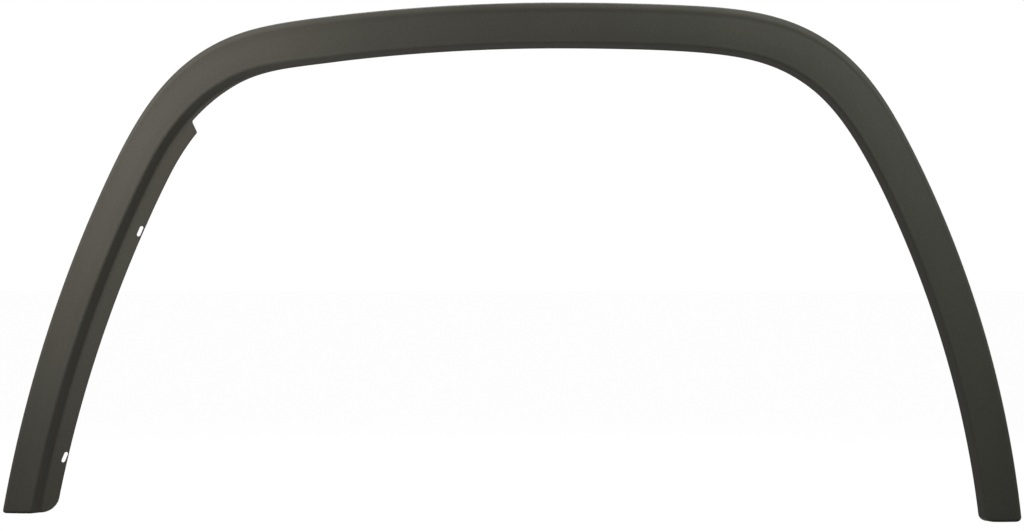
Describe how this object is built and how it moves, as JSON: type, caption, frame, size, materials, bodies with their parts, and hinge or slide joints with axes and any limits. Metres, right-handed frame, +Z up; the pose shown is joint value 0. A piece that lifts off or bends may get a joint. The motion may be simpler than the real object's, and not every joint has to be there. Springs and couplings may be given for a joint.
{
  "type": "wheel arch trim",
  "caption": "One-piece wheel arch trim with a rounded outer edge, an inner roll, a slotted return flange on one leg and clip seats on its back.",
  "frame": {"origin": "on the axis of the locating pin, in the plane where its boss rests on the body panel", "axes": "+X along the vehicle from the nose side to the door side, +Y inboard towards the body panel, +Z up"},
  "size_m": [0.9517, 0.052, 0.4833],
  "materials": {
    "grained_plastic": "fine moulded grain, satin, dark charcoal"
  },
  "bodies": {
    "root": {"arch_trim": "grained_plastic"}
  },
  "joints": []
}
